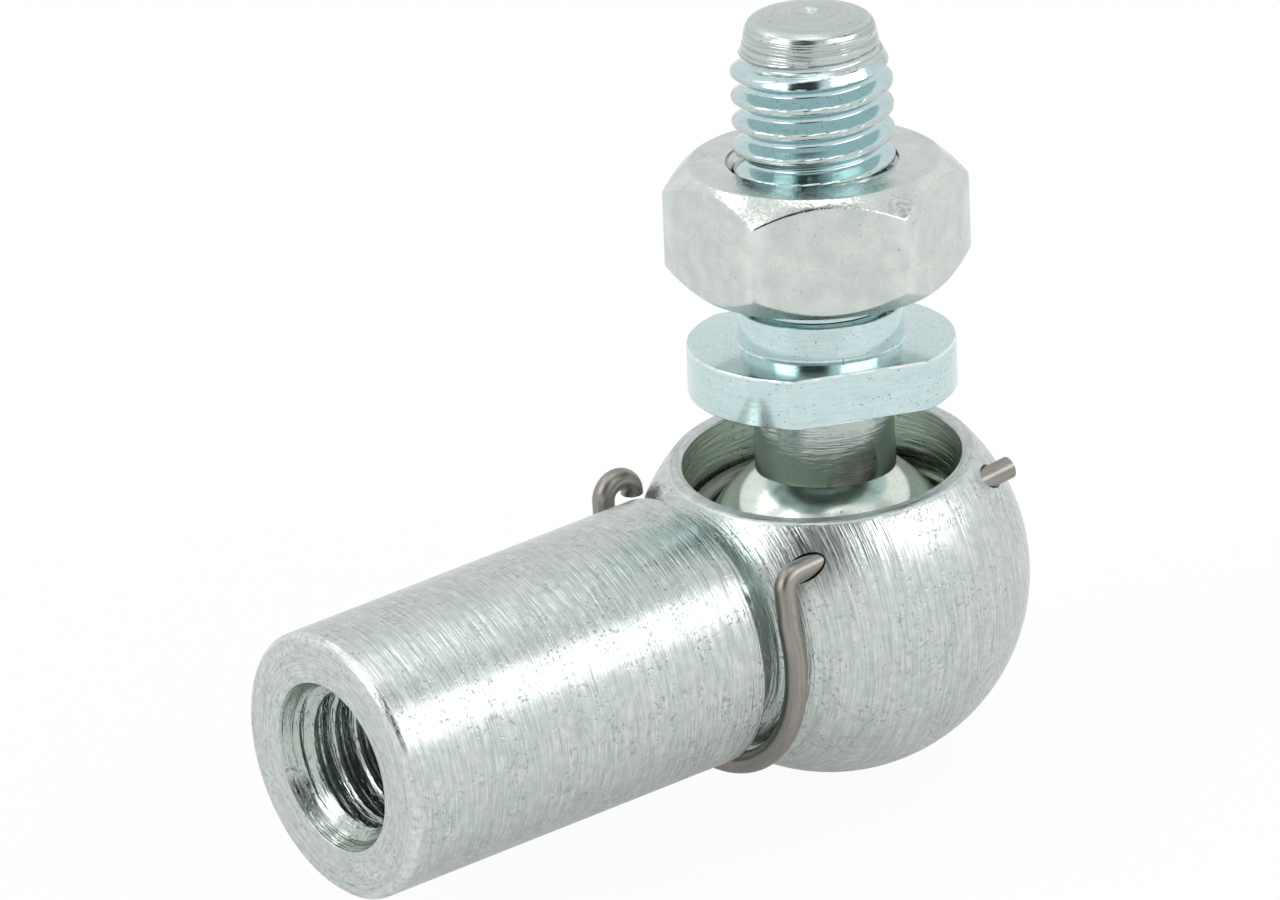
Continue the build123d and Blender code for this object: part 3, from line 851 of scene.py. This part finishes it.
tip, corner = on_pin(PIN_IN_HEAD + TIP_OUT), on_pin(-PIN_IN_HEAD - CORNER_OUT)
bow_start, bow_end = on_bow(BOW_START), on_bow(360)
leg = (bow_start - corner).normalized()
leg_end = bow_start - leg * 0.9
bow_way = (on_bow(BOW_START + 1) - bow_start).normalized()
leg_bend = interpolate_bezier(leg_end, leg_end + leg * 0.3, bow_start - bow_way * 0.3, bow_start, 8)
hook_height = sqrt((HEAD + 0.08 + CLIP_WIRE)**2 - (bow_end.x + 2 * HOOK)**2 - bow_end.y**2)
hook_centre = bow_end + Vector((HOOK, 0, hook_height + HOOK_TAIL))
hook = [hook_centre + Vector((-HOOK * cos(a), 0, HOOK * sin(a))) for a in np.linspace(0, pi, 16)]
bow = [on_bow(degrees) for degrees in range(BOW_START, 361, 3)]
clip_path = [tip, *bend(tip, corner, leg_end, BEND), *leg_bend[:-1], *bow, *hook,
             hook[-1] - Vector((0, 0, HOOK_TAIL))]
clip = draw_wire("safety_clip_wire", clip_path, CLIP_WIRE, spring_wire, rounded=0.3)

# %% Bend the snap ring, with a gap of 40 degrees between its ends
ring_path = [(RING_RADIUS * cos(a), RING_RADIUS * sin(a), RING_HEIGHT) for a in np.radians(range(20, 341, 4))]
ring = draw_wire("snap_ring_wire", ring_path, RING_WIRE, ring_wire)

# %% [markdown]
# ## Joining the frame
#
# Each piece stands in for one part of the CAD, which is hidden, and rides on its body.

# %% Hand the pieces to the frame
for piece, node, body, slot in (
        (socket, "socket", "socket", "zinc_socket"), (stud, "ball_stud", "stud", "zinc_stud"),
        (nut, "hex_nut", "nut", "zinc_nut"), (clip, "safety_clip", "clip", "clip_wire"),
        (ring, "snap_ring", "ring", "ring_wire")):
    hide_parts(node)
    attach(piece, body)

# %% [markdown]
# ## The studio
#
# Bright metal looks like what stands round it. This is a white room with a pale floor. Six soft boxes,
# brighter than the walls, give the white bands, and four darker places in the walls give the dark ones
# between them. The floor and the walls show white, and the floor keeps a trace of shadow.

# %% Floor
FLOOR_HALF = 3.0
floor_mesh = bpy.data.meshes.new("floor")
sides = ((-1, -1), (1, -1), (1, 1), (-1, 1))
floor_corners = [(x * FLOOR_HALF, y * FLOOR_HALF, -HEAD * MM) for x, y in sides]
floor_mesh.from_pydata(floor_corners, [], [(0, 1, 2, 3)])
floor = bpy.data.objects.new("floor", floor_mesh)
bpy.context.scene.collection.objects.link(floor)

# what the camera sees of the paper is 0.95 plain white, what a mirror sees is 0.3, and the rest is matt
paper = bpy.data.materials.new("white paper")
paper.use_nodes = True
tree = paper.node_tree
tree.nodes.clear()
rays = add_node(tree, "ShaderNodeLightPath").outputs
mirrored = add_node(tree, MATHS, rays["Is Glossy Ray"], 0.3, operation="MULTIPLY")
seen = add_node(tree, MATHS, rays["Is Camera Ray"], 0.95, mirrored, operation="MULTIPLY_ADD")
matt = add_node(tree, "ShaderNodeBsdfDiffuse", (0.8, 0.8, 0.8, 1))
white = add_node(tree, "ShaderNodeEmission", (1, 1, 1, 1), 1.0)
add_node(tree, "ShaderNodeOutputMaterial", add_node(tree, "ShaderNodeMixShader", seen, matt, white))
floor_mesh.materials.append(paper)


# %% Soft boxes
def towards(azimuth, elevation):
    """The way from the ball towards a place in the room, by its two angles in degrees."""
    a, e = radians(azimuth), radians(elevation)
    return Vector((cos(a) * cos(e), sin(a) * cos(e), sin(e)))


def soft_box(name, azimuth, elevation, width, height, glow, distance=0.5):
    """A soft box, its size in mm, that looks at the ball. Its glow is how bright its face looks."""
    away = towards(azimuth, elevation)
    light = bpy.data.lights.new(name, "AREA")
    light.shape = "RECTANGLE"
    light.size, light.size_y = width * MM, height * MM
    light.energy = glow * pi * light.size * light.size_y
    lamp = bpy.data.objects.new(name, light)
    turn = away.to_track_quat("Z", "Y").to_matrix().to_4x4()
    lamp.matrix_world = Matrix.Translation(ball_centre + away * distance) @ turn
    lamp.visible_camera = False
    bpy.context.scene.collection.objects.link(lamp)


soft_box("front right box", -52, 31, 300, 190, 2.2)
soft_box("front box", -77, 41, 190, 140, 2.0)
soft_box("left box", 173, 35, 270, 230, 2.1)
soft_box("back left box", 115, 49, 160, 140, 1.6)
soft_box("high left box", 162, 60, 110, 110, 1.9)
soft_box("overhead box", 0, 86, 260, 200, 1.3)

# %% Room
world = bpy.data.worlds.new("studio room")
bpy.context.scene.world = world
world.use_nodes = True
room = world.node_tree
room.nodes.clear()
looking = add_node(room, "ShaderNodeTexCoord").outputs["Generated"]

# each dark place has a middle, an even part and an edge, in degrees, and leaves a share of the light
level = 1.0
for azimuth, elevation, inner, outer, left in (
        (220, 39, 16, 28, 0.04), (-30, 43, 5, 14, 0.5), (250, 71, 8, 20, 0.5), (52, 22, 10, 34, 0.87)):
    middle = towards(azimuth, elevation)
    facing = add_node(room, VECTORS, looking, middle, operation="DOT_PRODUCT").outputs["Value"]
    shade = add_node(room, MAP_RANGE, facing, cos(radians(outer)), cos(radians(inner)), 1.0, left,
                     interpolation_type="SMOOTHSTEP")
    level = add_node(room, MATHS, level, shade, operation="MULTIPLY")
walls = add_node(room, "ShaderNodeBackground", (1, 1, 1, 1), level)
backdrop = add_node(room, "ShaderNodeBackground", (1, 1, 1, 1), 1.0)
by_camera = add_node(room, "ShaderNodeLightPath").outputs["Is Camera Ray"]
add_node(room, "ShaderNodeOutputWorld", add_node(room, "ShaderNodeMixShader", by_camera, walls, backdrop))

# %% Camera
AZIMUTH, ELEVATION, ROLL, DISTANCE = -35.482, 25.327, -4.16, 996.2
look = (Matrix.Rotation(radians(AZIMUTH), 4, "Z") @ Matrix.Rotation(radians(90 - ELEVATION), 4, "X")
        @ Matrix.Rotation(radians(ROLL), 4, "Z"))
aim = Vector((24.537, 7.325, 5.903)) * MM
camera_data = bpy.data.cameras.new("camera")
camera_data.lens, camera_data.sensor_width = 581.1, 36.0
camera_data.clip_start, camera_data.clip_end = 0.05, 20
camera = bpy.data.objects.new("camera", camera_data)
camera.matrix_world = Matrix.Translation(aim + look.to_3x3() @ Vector((0, 0, DISTANCE * MM))) @ look
bpy.context.scene.collection.objects.link(camera)
bpy.context.scene.camera = camera
bpy.context.scene.view_settings.view_transform = "Standard"
